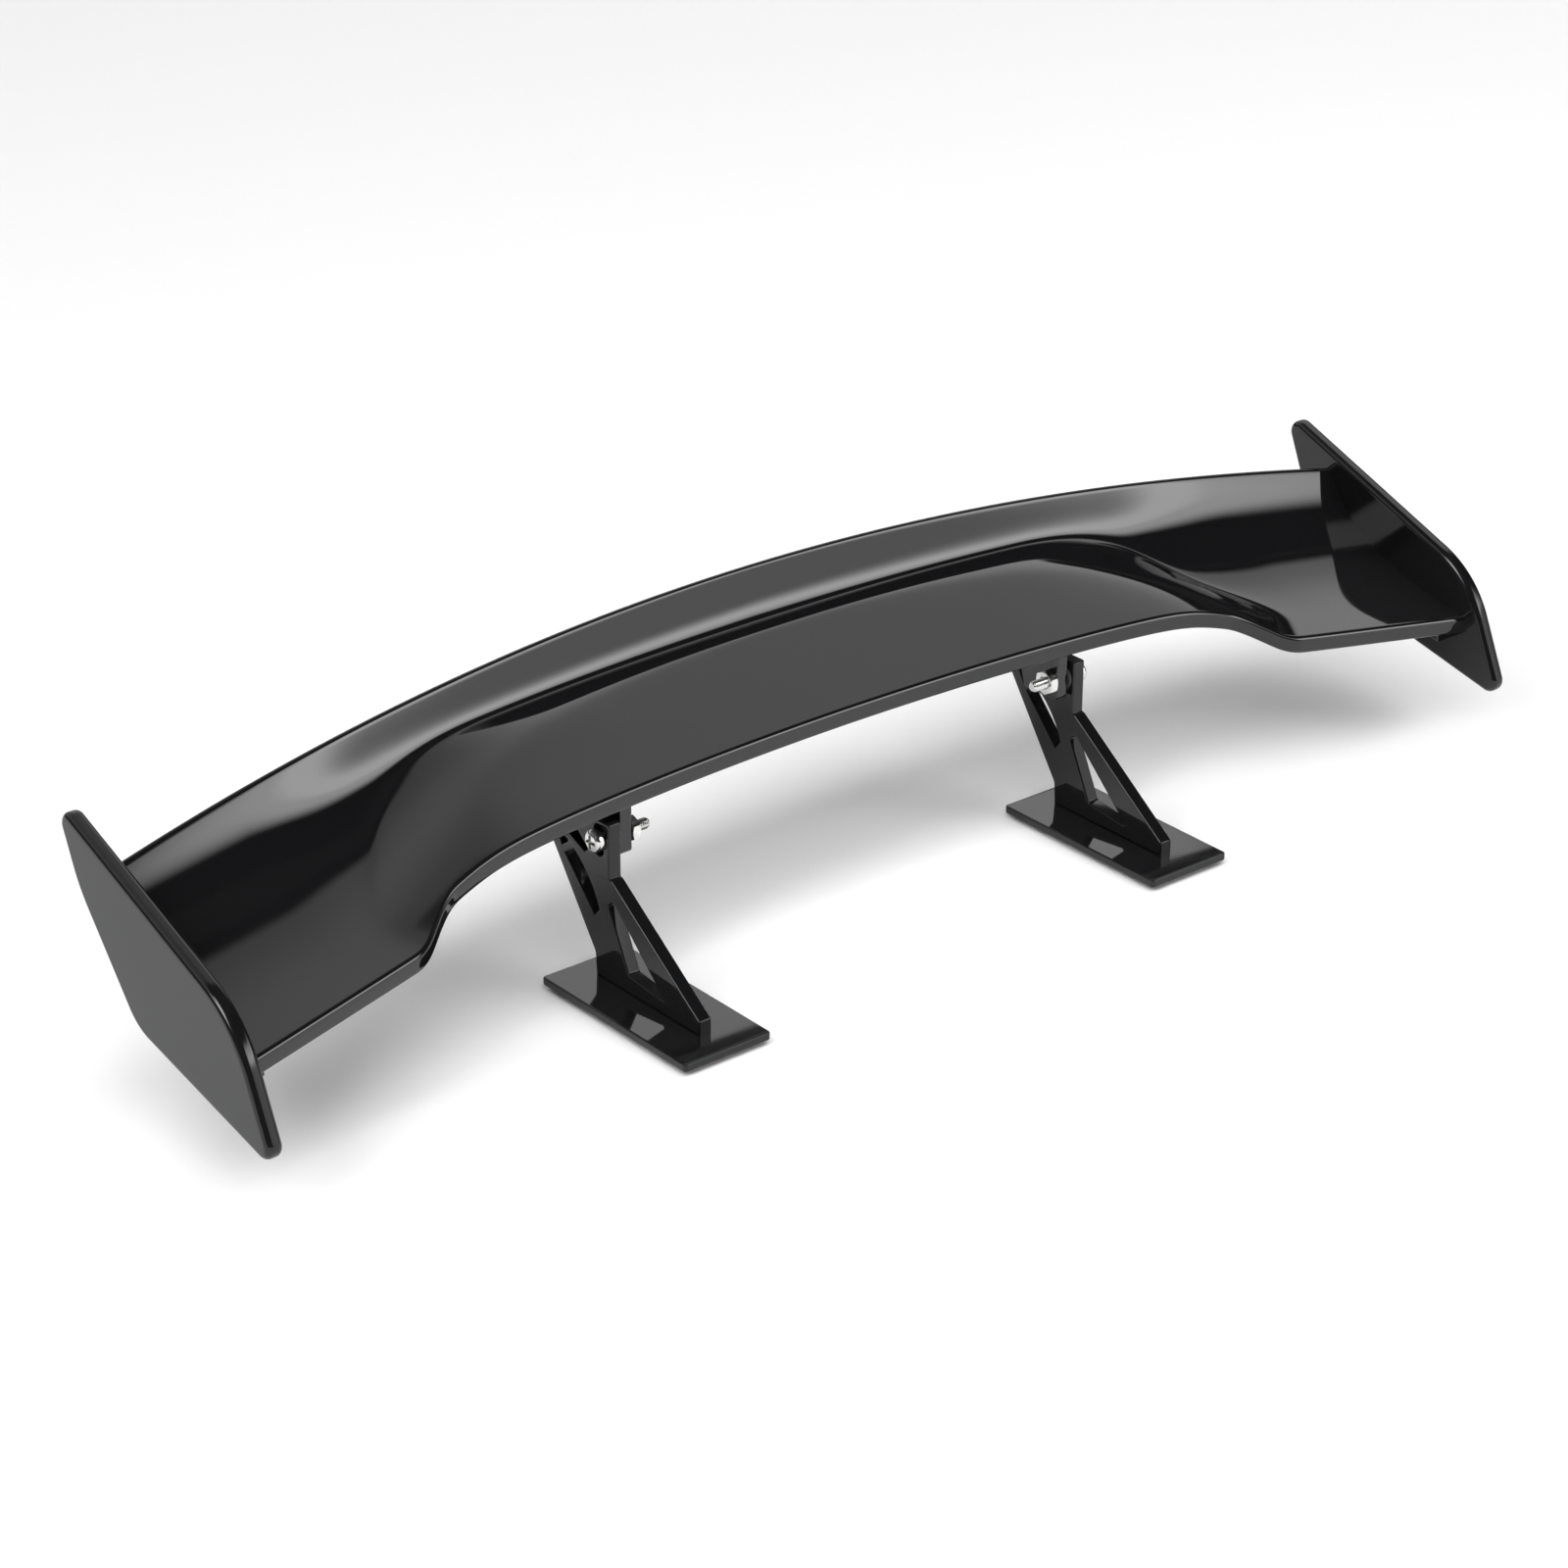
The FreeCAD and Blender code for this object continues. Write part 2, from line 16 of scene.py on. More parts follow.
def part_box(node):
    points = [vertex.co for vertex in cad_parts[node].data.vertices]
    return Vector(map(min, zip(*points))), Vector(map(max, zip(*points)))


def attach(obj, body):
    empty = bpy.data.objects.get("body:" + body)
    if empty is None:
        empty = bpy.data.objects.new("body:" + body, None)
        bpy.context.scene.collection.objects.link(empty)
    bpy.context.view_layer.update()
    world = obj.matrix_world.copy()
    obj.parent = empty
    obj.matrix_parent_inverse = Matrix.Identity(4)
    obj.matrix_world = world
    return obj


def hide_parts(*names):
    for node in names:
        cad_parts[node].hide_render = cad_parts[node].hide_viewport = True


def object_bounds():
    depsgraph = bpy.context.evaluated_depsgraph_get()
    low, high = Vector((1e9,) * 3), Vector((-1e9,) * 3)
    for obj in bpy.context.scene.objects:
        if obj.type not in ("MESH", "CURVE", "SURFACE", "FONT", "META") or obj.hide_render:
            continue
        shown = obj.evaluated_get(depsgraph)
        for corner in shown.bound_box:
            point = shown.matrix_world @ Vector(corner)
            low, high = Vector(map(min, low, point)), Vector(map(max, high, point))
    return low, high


MM = 0.001

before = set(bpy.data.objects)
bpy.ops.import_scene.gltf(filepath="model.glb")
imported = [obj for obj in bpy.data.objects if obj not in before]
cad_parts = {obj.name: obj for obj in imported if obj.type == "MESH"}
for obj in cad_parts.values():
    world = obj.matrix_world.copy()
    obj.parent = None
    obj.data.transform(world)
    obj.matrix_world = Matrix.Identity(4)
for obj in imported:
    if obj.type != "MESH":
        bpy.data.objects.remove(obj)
cad_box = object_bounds()

SIDES = {"left": -1, "right": 1}

# Y and Z of the axis that the wing tilts on, and the radius of the holes for its screws
PIVOT = (1.35, 27.2)
HOLE_RADIUS = 1.05


def node_box(node):
    """Lowest and highest corner of a CAD node, in millimetres."""
    low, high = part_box(node)
    return [c / MM for c in low], [c / MM for c in high]


# ---------------------------------------------------------------- materials


def new_material(name, **shader_values):
    """A material with a Principled shader; returns it with its node tree and shader."""
    material = bpy.data.materials.new(name)
    material.use_nodes = True
    tree = material.node_tree
    shader = tree.nodes["Principled BSDF"]
    for socket, value in shader_values.items():
        shader.inputs[socket.replace("_", " ")].default_value = value
    return material, tree, shader


def texture(tree, kind, scale, **settings):
    """A procedural texture over the object's own coordinates; scale is in features per metre."""
    coordinates = tree.nodes.new("ShaderNodeTexCoord")
    node = tree.nodes.new(kind)
    node.inputs["Scale"].default_value = scale
    for socket, value in settings.items():
        node.inputs[socket].default_value = value
    tree.links.new(coordinates.outputs["Object"], node.inputs["Vector"])
    return node


def remap(tree, source, low, high, to_low, to_high, soft=False):
    """The source's range low..high turned into to_low..to_high; soft eases it at both ends."""
    node = tree.nodes.new("ShaderNodeMapRange")
    if soft:
        node.interpolation_type = "SMOOTHSTEP"
    ends = {"From Min": low, "From Max": high, "To Min": to_low, "To Max": to_high}
    for socket, value in ends.items():
        node.inputs[socket].default_value = value
    tree.links.new(source, node.inputs["Value"])
    return node.outputs["Result"]


def combine(tree, operation, first, second):
    """A math node over two linked values."""
    node = tree.nodes.new("ShaderNodeMath")
    node.operation = operation
    tree.links.new(first, node.inputs[0])
    tree.links.new(second, node.inputs[1])
    return node.outputs["Value"]


def mix_colour(tree, factor, first, second):
    """The first colour where the factor is 0 and the second where it is 1."""
    node = tree.nodes.new("ShaderNodeMix")
    node.data_type = "RGBA"
    node.inputs["A"].default_value = (*first, 1)
    node.inputs["B"].default_value = (*second, 1)
    tree.links.new(factor, node.inputs["Factor"])
    return node.outputs["Result"]


def bump(tree, shader, height, distance, strength, below=None):
    """Adds a bump of this distance, in metres, over any bump below it."""
    node = tree.nodes.new("ShaderNodeBump")
    node.inputs["Strength"].default_value = strength
    node.inputs["Distance"].default_value = distance
    tree.links.new(height, node.inputs["Height"])
    if below:
        tree.links.new(below, node.inputs["Normal"])
    tree.links.new(node.outputs["Normal"], shader.inputs["Normal"])
    return node.outputs["Normal"]


def specks(tree, cell, radius, share):
    """1 on small scattered specks of dust and 0 between them; cell and radius are in metres."""
    points = texture(tree, "ShaderNodeTexVoronoi", 1 / cell)
    close = remap(tree, points.outputs["Distance"], radius / cell, 0.5 * radius / cell, 0, 1)
    picked = remap(tree, points.outputs["Color"], 1 - share, 1 - share + 0.01, 0, 1)
    return combine(tree, "MULTIPLY", close, picked)


def black_plastic(name, roughness, ripple, sheen=0.5):
    """Moulded black ABS: near-mirror gloss, slight flow ripples, a little dust and haze."""
    material, tree, shader = new_material(name, IOR=1.54, Specular_IOR_Level=sheen)
    dust = specks(tree, cell=0.007, radius=0.00016, share=0.35)
    colour = mix_colour(tree, dust, (0.0062, 0.0062, 0.0068), (0.10, 0.10, 0.10))
    tree.links.new(colour, shader.inputs["Base Color"])
    haze = texture(tree, "ShaderNodeTexNoise", 60, Detail=4, Roughness=0.6)
    haze_roughness = remap(tree, haze.outputs["Fac"], 0.35, 0.75, roughness, roughness * 1.8)
    dust_roughness = remap(tree, dust, 0, 1, 0, 0.6)
    rough = combine(tree, "MAXIMUM", haze_roughness, dust_roughness)
    tree.links.new(rough, shader.inputs["Roughness"])
    flow = texture(tree, "ShaderNodeTexNoise", 55, Detail=1.5, Roughness=0.4)
    grain = texture(tree, "ShaderNodeTexNoise", 2600, Detail=2, Roughness=0.5)
    waves = bump(tree, shader, flow.outputs["Fac"], ripple, 1.0)
    waves = bump(tree, shader, grain.outputs["Fac"], 0.0000004, 1.0, waves)
    bump(tree, shader, dust, 0.00002, 0.6, waves)
    return material


def plated_steel():
    """Bright zinc plate with fine turning marks and small stains."""
    material, tree, shader = new_material("plated_steel", Metallic=1.0)
    stain = texture(tree, "ShaderNodeTexNoise", 900, Detail=5, Roughness=0.65)
    level = remap(tree, stain.outputs["Fac"], 0.3, 0.75, 0, 1)
    colour = mix_colour(tree, level, (0.80, 0.79, 0.76), (0.60, 0.60, 0.61))
    tree.links.new(colour, shader.inputs["Base Color"])
    rough = remap(tree, stain.outputs["Fac"], 0.3, 0.75, 0.14, 0.30)
    tree.links.new(rough, shader.inputs["Roughness"])
    marks = texture(tree, "ShaderNodeTexNoise", 6000, Detail=3, Roughness=0.6)
    bump(tree, shader, marks.outputs["Fac"], 0.000004, 0.5)
    return material


def nylon():
    """Black nylon with a fine moulded grain."""
    material, tree, shader = new_material("black_nylon", IOR=1.53)
    grain = texture(tree, "ShaderNodeTexNoise", 4000, Detail=3)
    colour = mix_colour(tree, grain.outputs["Fac"], (0.016, 0.016, 0.017), (0.030, 0.030, 0.031))
    tree.links.new(colour, shader.inputs["Base Color"])
    rough = remap(tree, grain.outputs["Fac"], 0.3, 0.7, 0.42, 0.58)
    tree.links.new(rough, shader.inputs["Roughness"])
    bump(tree, shader, grain.outputs["Fac"], 0.00001, 0.5)
    return material


def foam_tape():
    """Black acrylic foam: fine closed cells at its cut edge."""
    material, tree, shader = new_material("foam_tape")
    cells = texture(tree, "ShaderNodeTexVoronoi", 5200)
    distance = cells.outputs["Distance"]
    colour = mix_colour(tree, distance, (0.030, 0.030, 0.031), (0.012, 0.012, 0.013))
    tree.links.new(colour, shader.inputs["Base Color"])
    rough = remap(tree, distance, 0, 0.8, 0.70, 0.92)
    tree.links.new(rough, shader.inputs["Roughness"])
    bump(tree, shader, distance, 0.00006, 0.7)
    return material


def liner_film():
    """Red release film with a slight cross-web tension ripple."""
    material, tree, shader = new_material("liner_film")
    tint = texture(tree, "ShaderNodeTexNoise", 90, Detail=3)
    colour = mix_colour(tree, tint.outputs["Fac"], (0.42, 0.016, 0.012), (0.55, 0.030, 0.020))
    tree.links.new(colour, shader.inputs["Base Color"])
    rough = remap(tree, tint.outputs["Fac"], 0.3, 0.7, 0.20, 0.34)
    tree.links.new(rough, shader.inputs["Roughness"])
    web = texture(tree, "ShaderNodeTexWave", 130, Distortion=1.2)
    bump(tree, shader, web.outputs["Fac"], 0.00001, 0.5)
    return material


MATERIALS = {
    "blade": black_plastic("gloss_black_abs", roughness=0.035, ripple=0.000012),
    "plate": black_plastic("satin_black_abs", roughness=0.09, ripple=0.000008, sheen=0.38),
    "leg": black_plastic("gloss_black_abs_leg", roughness=0.045, ripple=0.000005, sheen=0.33),
    "steel": plated_steel(),
    "nylon": nylon(),
    "foam": foam_tape(),
    "liner": liner_film(),
}


# ---------------------------------------------------------------- making pieces


def weight_normals(piece):
    """Keeps the shading of broad faces flat up to their rounded edges."""
    weighted = piece.modifiers.new("weighted", "WEIGHTED_NORMAL")
    weighted.keep_sharp = True
    weighted.weight = 80


def add_piece(name, mesh, body, kind, replaces=(), sharp_degrees=32, weighted=True):
    """Puts a mesh in the scene, smooth but for its real corners, riding on its body."""
    piece = bpy.data.objects.new(name, mesh)
    bpy.context.scene.collection.objects.link(piece)
    mesh.materials.clear()
    mesh.materials.append(MATERIALS[kind])
    mesh.polygons.foreach_set("use_smooth", [True] * len(mesh.polygons))
    mesh.set_sharp_from_angle(angle=math.radians(sharp_degrees))
    if weighted:
        weight_normals(piece)
    bpy.context.view_layer.update()
    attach(piece, body)
    if replaces:
        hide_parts(*replaces)
    return piece


def clean_mesh(mesh, merge=None, matrix=None):
    """Joins points closer than merge, moves the mesh by the matrix, and turns its faces outward."""
    shape = bmesh.new()
    shape.from_mesh(mesh)
    if merge is not None:
        bmesh.ops.remove_doubles(shape, verts=shape.verts, dist=merge)
    if matrix is not None:
        bmesh.ops.transform(shape, matrix=matrix, verts=shape.verts)
    bmesh.ops.recalc_face_normals(shape, faces=shape.faces)
    shape.to_mesh(mesh)
    shape.free()
    return mesh


def mesh_from(name, points, faces):
    """A mesh from points in millimetres."""
    mesh = bpy.data.meshes.new(name)
    mesh.from_pydata([tuple(c * MM for c in p) for p in points], [], faces)
    mesh.validate()
    return clean_mesh(mesh)


def grid_faces(rows, columns, wrap=False):
    """Quads between rows of points; wrap closes each row on itself."""
    faces = []
    span = columns if wrap else columns - 1
    for row in range(rows - 1):
        for column in range(span):
            beside = (column + 1) % columns
            a, b = row * columns + column, row * columns + beside
            faces.append((a, b, b + columns, a + columns))
    return faces


def rounded(corners, steps=10):
    """Points along an outline of (across, up, radius) corners, each an arc of that radius.

    A corner without a radius stays sharp, and steps is the number of points per radian of turn.
    """
    points = []
    count = len(corners)
    for i in range(count):
        here = Vector(corners[i][:2])
        before = (Vector(corners[i - 1][:2]) - here).normalized()
        after = (Vector(corners[(i + 1) % count][:2]) - here).normalized()
        radius = corners[i][2] if len(corners[i]) > 2 else 0
        if not radius:
            points.append(here)
            continue
        half = before.angle(after) / 2
        reach = radius / math.tan(half)
        centre = here + (before + after).normalized() * (radius / math.sin(half))
        first = here + before * reach - centre
        last = here + after * reach - centre
        turn = first.angle_signed(last)
        arc = max(4, int(steps * abs(turn)))
        for k in range(arc + 1):
            spin = Matrix.Rotation(-turn * k / arc, 2)
            points.append(centre + spin @ first)
    return points


def sheet_mesh(name, loops, thick, bevel, place, rings=4):
    """A flat plate with this outline and holes, its edges rounded, moved into place by a matrix.

    The outline lies in the local XY plane and the plate is centred on it.
    """
    curve = bpy.data.curves.new(name, "CURVE")
    curve.dimensions = "2D"
    curve.fill_mode = "BOTH"
    curve.extrude = thick / 2 - bevel
    curve.bevel_depth = bevel
    curve.bevel_resolution = rings
    curve.offset = -bevel
    for loop in loops:
        spline = curve.splines.new("POLY")
        spline.points.add(len(loop) - 1)
        for point, (across, up) in zip(spline.points, loop):
            point.co = (across, up, 0, 1)
        spline.use_cyclic_u = True
    holder = bpy.data.objects.new(name + "_curve", curve)
    bpy.context.scene.collection.objects.link(holder)
    bpy.context.view_layer.update()
    depsgraph = bpy.context.evaluated_depsgraph_get()
    mesh = bpy.data.meshes.new_from_object(holder.evaluated_get(depsgraph))
    bpy.data.objects.remove(holder)
    bpy.data.curves.remove(curve)
    mesh.name = name
    return clean_mesh(mesh, merge=0.004, matrix=Matrix.Scale(MM, 4) @ place)


def upright_place(x):
    """Stands a sheet in the plane at this x: its across is Y and its up is Z."""
    return Matrix(((0, 0, 1, x), (1, 0, 0, 0), (0, 1, 0, 0), (0, 0, 0, 1)))


def around_pivot(x, radius, angle):
    """A point at this x, at this radius and angle round the pivot's axis."""
    return x, PIVOT[0] + radius * math.cos(angle), PIVOT[1] + radius * math.sin(angle)


def turned(profile, start, sign, ring=False, segments=72):
    """A closed solid turned about the pivot's axis: profile gives (distance outboard, radius).

    Distances count from start. A ring's profile closes on itself; any other is capped at both ends.
    """
    points = []
    for along, radius in profile:
        for k in range(segments):
            angle = 2 * math.pi * k / segments
            points.append(around_pivot(sign * start + sign * along, radius, angle))
    faces = grid_faces(len(profile), segments, wrap=True)
    last = (len(profile) - 1) * segments
    if ring:
        for k in range(segments):
            beside = (k + 1) % segments
            faces.append((last + k, last + beside, beside, k))
    else:
        faces.append(tuple(range(segments)))
        faces.append(tuple(last + k for k in reversed(range(segments))))
    return points, faces


# ---------------------------------------------------------------- blade

# the shell reaches this far each way; the endplates stand beyond it
HALF_SPAN = 132.0

# height of the lip and the radii of its upper and lower corners; wall, and wall at the rear rim
LIP, LIP_RADIUS, KEEL_RADIUS = 3.2, 1.1, 0.35
WALL, RIM_WALL = 2.2, 2.6

# raised middle panel: its reach sideways and rearward, how round its outline is, and its slope
PANEL_HALF, PANEL_CHORD, PANEL_ROUND = 76.0, 0.70, 3.0
PANEL_SLOPE = 0.394
MIDDLE_EASE, ADDED_EASE = 0.012, 0.088
VALLEY_EASE = 0.7

# how fast the panel falls away: behind it, beside it, beside it near the front, and further out
REAR_FALL, SIDE_FALL, FRONT_EASING, LATE_FALL = 8.8, 30.5, 8.5, 30.0
REAR_SHARE, FRONT_CHORD = 0.8, 0.5

# flap: its even share of the rise, the power of the rest, and where that power changes
CAMBER_SHARE = 0.36
MIDDLE_POWER, POWER_DROP = 5.1, 1.3
POWER_FROM, POWER_OVER = 80.0, 28.0

# where the leading edge starts to step forward, and over how much of the span
ADVANCE_FROM, ADVANCE_OVER = 84.0, 13.0


def smooth_step(value):
    """Smooth step from 0 to 1."""
    value = np.clip(value, 0, 1)
    return value * value * (3 - 2 * value)


def trailing(reach):
    """Y and Z of the trailing edge at this distance from the middle."""
    return 30.7 - 0.0007 * reach**2, 51.4 - 0.0006 * reach**2


def panel_front(reach):
    """Y and Z of the raised panel's leading edge, along its upper corner."""
    return 1.6 - 0.0009 * reach**2, 31.7 + LIP


def outer_front(reach):
    """Y and Z of the lower leading edge that runs out to the endplates, along its upper corner."""
    return -12.06 - 0.194 * (reach - 100), 22.45 - 0.0925 * (reach - 100) + LIP


def leading(reach):
    """Leading edge in plan: the raised panel's, stepping forward to the outer one."""
    share = smooth_step((reach - ADVANCE_FROM) / ADVANCE_OVER)
    return panel_front(reach)[0] * (1 - share) + outer_front(reach)[0] * share


def eased(value, ease):
    """The value where it is positive and 0 where it is negative, with this much easing between."""
    return (value + np.hypot(value, ease)) / 2


def flap_height(reach, y):
    """The concave surface behind and beside the panel, which steepens towards the trailing edge."""
    stop_y, stop_z = trailing(reach)
    outer_y, outer_z = outer_front(reach)
    chord = (y - outer_y) / (stop_y - outer_y)
    power = MIDDLE_POWER - POWER_DROP * smooth_step((reach - POWER_FROM) / POWER_OVER)
    camber = CAMBER_SHARE * chord + (1 - CAMBER_SHARE) * np.maximum(chord, 0) ** power
    return outer_z + camber * (stop_z - outer_z)


def panel_fall(reach, y):
    """How far the panel has dropped beyond its rounded outline: least behind it, most beside it."""
    front = panel_front(reach)[0]
    chord = np.maximum((y - front) / (trailing(reach)[0] - front), 0)
    sideways = (reach / PANEL_HALF) ** PANEL_ROUND
    rearward = (chord / PANEL_CHORD) ** PANEL_ROUND
    ease = MIDDLE_EASE + ADDED_EASE * smooth_step(reach / PANEL_HALF)
    beyond = eased((sideways + rearward) ** (1 / PANEL_ROUND) - 1, ease)
    behind = smooth_step(rearward / np.maximum(sideways + rearward, 1e-9) / REAR_SHARE)
    ahead = smooth_step(1 - chord / FRONT_CHORD)
    side = SIDE_FALL - FRONT_EASING * ahead + LATE_FALL * beyond
    return beyond * (REAR_FALL * behind + side * (1 - behind))


def raw_height(x, y):
    """Height of the upper surface: the flap, with the even panel rising out of it."""
    reach = np.abs(x)
    panel_y, panel_z = panel_front(reach)
    flap = flap_height(reach, y)
    panel = panel_z + PANEL_SLOPE * (y - panel_y) - panel_fall(reach, y)
    return flap + eased(panel - flap, VALLEY_EASE)


def top_height(x, y):
    """The upper surface with its creases eased over about a millimetre."""
    total = 0
    for dx, weight_x in ((-0.6, 1), (0, 2), (0.6, 1)):
        for dy, weight_y in ((-0.7, 1), (-0.35, 4), (0, 6), (0.35, 4), (0.7, 1)):
            total = total + weight_x * weight_y / 64 * raw_height(x + dx, y + dy)
    return total


def stations():
    """Places along the span, closer together over the step in the leading edge."""
    fine, coarse = 0.4, 0.75
    half = [0.0]
    while half[-1] < HALF_SPAN - 0.3:
        gap = fine if 64 < half[-1] < 99 else coarse
        half.append(min(half[-1] + gap, HALF_SPAN))
    half[-1] = HALF_SPAN
    return np.array([-x for x in reversed(half[1:])] + half)


def unit(rows):
    """Every station's vector, made one long."""
    return rows / np.linalg.norm(rows, axis=-1, keepdims=True)


def corner_arc(corner, first, last, radius, steps):
    """Every station's rounded corner; first and last are unit directions away from the corner."""
    cosine = np.sum(first * last, axis=-1, keepdims=True)
    half = np.arccos(np.clip(cosine, -1, 1)) / 2
    centre = corner + unit(first + last) * radius / np.sin(half)
    start = corner + first * radius / np.tan(half) - centre
    stop = corner + last * radius / np.tan(half) - centre
    turn = math.pi - 2 * half
    arc = []
    for k in range(steps + 1):
        share = k / steps
        reach = np.sin((1 - share) * turn) * start + np.sin(share * turn) * stop
        arc.append(centre + reach / np.sin(turn))
    return arc


def bezier(points, steps):
    """Cubic curve through every station's four points, without its first point."""
    a, b, c, d = points
    curve = []
    for k in range(1, steps + 1):
        t = k / steps
        s = 1 - t
        curve.append(a * s**3 + 3 * b * t * s**2 + 3 * c * t**2 * s + d * t**3)
    return curve


def upper_rows(xs, front, back):
    """Rows of the upper face from the lip to the rim, which starts a little ahead and below."""
    rim_back, rim_drop = 1.15, 0.5
    rows = []
    for share in np.concatenate([np.linspace(0, 0.5, 40), np.linspace(0.5, 1, 80)[1:]]):
        y = front + share * (back - front)
        ending = smooth_step((share - 0.8) / 0.2)
        z = top_height(xs, y) - rim_drop * ending
        rows.append(np.stack([y - rim_back * ending, z], axis=-1))
    return rows


def under_rows(xs, front, back):
    """Rows of the underside from the rim to the lip: the wall's thickness below the upper face."""
    probe = 0.2
    rows = []
    for share in np.linspace(1, 0, 70):
        y = front + share * (back - front)
        rise = (top_height(xs, y + probe) - top_height(xs, y - probe)) / (2 * probe)
        thinning = smooth_step((share - 0.85) / 0.15)
        wall = WALL * np.hypot(1, rise) * (1 - thinning) + RIM_WALL * thinning
        lip = 1 - smooth_step(share / 0.1)
        z = top_height(xs, y) - LIP * lip - wall * (1 - lip)
        rows.append(np.stack([y, z], axis=-1))
    return rows


def kept_behind(rows, limit):
    """The rows, with every point that lies ahead of the limit moved onto it."""
    for row in rows:
        held = row[:, 0] <= limit[:, 0]
        row[held] = limit[held]
    return rows


def blade_mesh():
    """The blade as rows of points right round its section, one row for each station."""
    xs = stations()
    reach = np.abs(xs)
    front = leading(reach)
    back, rim_z = trailing(reach)
    down = np.tile(np.array([0.0, -1.0]), (len(xs), 1))

    top = upper_rows(xs, front, back)
    lip_arc = corner_arc(top[0], down, unit(top[2] - top[0]), LIP_RADIUS, 10)
    top = kept_behind(top[1:], lip_arc[-1])

    rim_top = top[-1]
    rim_back = np.stack([back, rim_z - 0.75], axis=-1)
    above = np.stack([back, rim_z + 0.15], axis=-1)
    rim = bezier((rim_top, rim_top + unit(top[-1] - top[-2]) * 0.7, above, rim_back), 10)
    for row in rim:
        row[:, 1] = np.minimum(row[:, 1], rim_z)

    under = under_rows(xs, front, back)
    rim_foot, keel = under[0], under[-1]
    leaving = rim_back * 0.7 + rim_foot * 0.3
    behind = bezier((rim_back, leaving, rim_foot + [[0, 0.3]], rim_foot), 4)
    keel_arc = corner_arc(keel, unit(under[-3] - keel), -down, KEEL_RADIUS, 5)
    under = kept_behind(under[1:], keel_arc[0])
    face = [keel_arc[-1] + (lip_arc[0] - keel_arc[-1]) * k / 3 for k in (1, 2)]

    ring = np.stack(lip_arc + top + rim + behind + under + keel_arc[1:] + face, axis=1)
    count = ring.shape[1]
    points = np.concatenate([np.repeat(xs, count)[:, None], ring.reshape(-1, 2)], axis=1)
    faces = grid_faces(len(xs), count, wrap=True)
    faces.append(tuple(range(count)))
    faces.append(tuple((len(xs) - 1) * count + i for i in reversed(range(count))))
    return clean_mesh(mesh_from("blade_shell", points.tolist(), faces), merge=1e-6)


# lugs and end ribs: where they stand, how thick they are, and how far they reach
LUG_X, LUG_THICK = 48.0, 2.4
LUG_FRONT, LUG_HEEL, LUG_BACK, LUG_LOW = -0.3, 8.0, 12.5, 23.8
RIB_INSET, RIB_THICK, RIB_DEEP = 2.0, 4.0, 4.1
RIB_FRONT_CHORD, RIB_CHORD = 0.06, 0.86
ROOT_DEPTH = 1.2


def root_point(x, y):
    """Where a lug or rib ends inside the blade's wall, as across and up."""
    here = np.array([float(y)])
    return Vector((y, float(top_height(np.array([float(x)]), here)[0]) - ROOT_DEPTH))


def on_circle(centre, radius, angles):
    """Points of a circle at these angles, in radians."""
    across, up = centre
    return [Vector((across + radius * math.cos(a), up + radius * math.sin(a))) for a in angles]


def lug_mesh(side, sign):
    """The lug that the pivot screw clamps to the upright, with the screw's hole."""
    ys = [LUG_BACK + (LUG_FRONT - LUG_BACK) * i / 10 for i in range(11)]
    root = [root_point(LUG_X, y) for y in ys]
    loop = rounded([(LUG_FRONT, LUG_LOW, 0.8), (LUG_HEEL, LUG_LOW, 1.0)] + root, 8)
    hole = on_circle(PIVOT, HOLE_RADIUS, [2 * math.pi * k / 40 for k in range(40)])
    return sheet_mesh(f"lug_{side}", [loop, hole], LUG_THICK, 0.15, upright_place(sign * LUG_X), 2)


def rib_mesh(side, sign):
    """The thick rib inside the blade's end, which the endplate sits against."""
    x = HALF_SPAN - RIB_INSET
    start, stop = leading(x), trailing(x)[0]
    shares = [RIB_FRONT_CHORD + RIB_CHORD * i / 16 for i in range(17)]
    upper = [root_point(x, start + s * (stop - start)) for s in shares]
    lower = [p - Vector((0, RIB_DEEP)) for p in reversed(upper)]
    return sheet_mesh(f"rib_{side}", [upper + lower], RIB_THICK, 0.3, upright_place(sign * x), 3)


def build_blade():
    """The shell, and on each side a lug and an end rib."""
    add_piece(
        "blade_shell",
        blade_mesh(),
        "wing",
        "blade",
        replaces=("wing_blade",),
        sharp_degrees=40,
        weighted=False,
    )
    for side, sign in SIDES.items():
        add_piece(f"blade_lug_{side}", lug_mesh(side, sign), "wing", "blade")
        add_piece(f"blade_end_rib_{side}", rib_mesh(side, sign), "wing", "blade")


# ---------------------------------------------------------------- endplates

ENDPLATE_THICK, ENDPLATE_ROUND = 3.0, 1.1

# outline in Y and Z, with each corner's radius
ENDPLATE = [
    (30.4, 49.2, 2.2),
    (24.6, 35.7, 25.0),
    (9.5, 17.3, 10.0),
    (-28.2, 9.0, 2.2),
    (-18.3, 31.0, 20.0),
]


def build_endplates():
    """One round-rimmed plate on each end of the blade."""
    for side, sign in SIDES.items():
        name = f"endplate_{side}_shell"
        place = upright_place(sign * (HALF_SPAN + ENDPLATE_THICK / 2))
        plate = sheet_mesh(name, [rounded(ENDPLATE, 24)], ENDPLATE_THICK, ENDPLATE_ROUND, place, 8)
        add_piece(name, plate, "wing", "plate", replaces=(f"endplate_{side}",))


# ---------------------------------------------------------------- legs

FOOT_TOP = 2.1
UPRIGHT_THICK, UPRIGHT_BEVEL = 2.5, 0.28

# pivot slot: half its width, and the heights of the centres of its round ends
SLOT_HALF, SLOT_HIGH, SLOT_LOW = 1.2, 28.7, 25.4

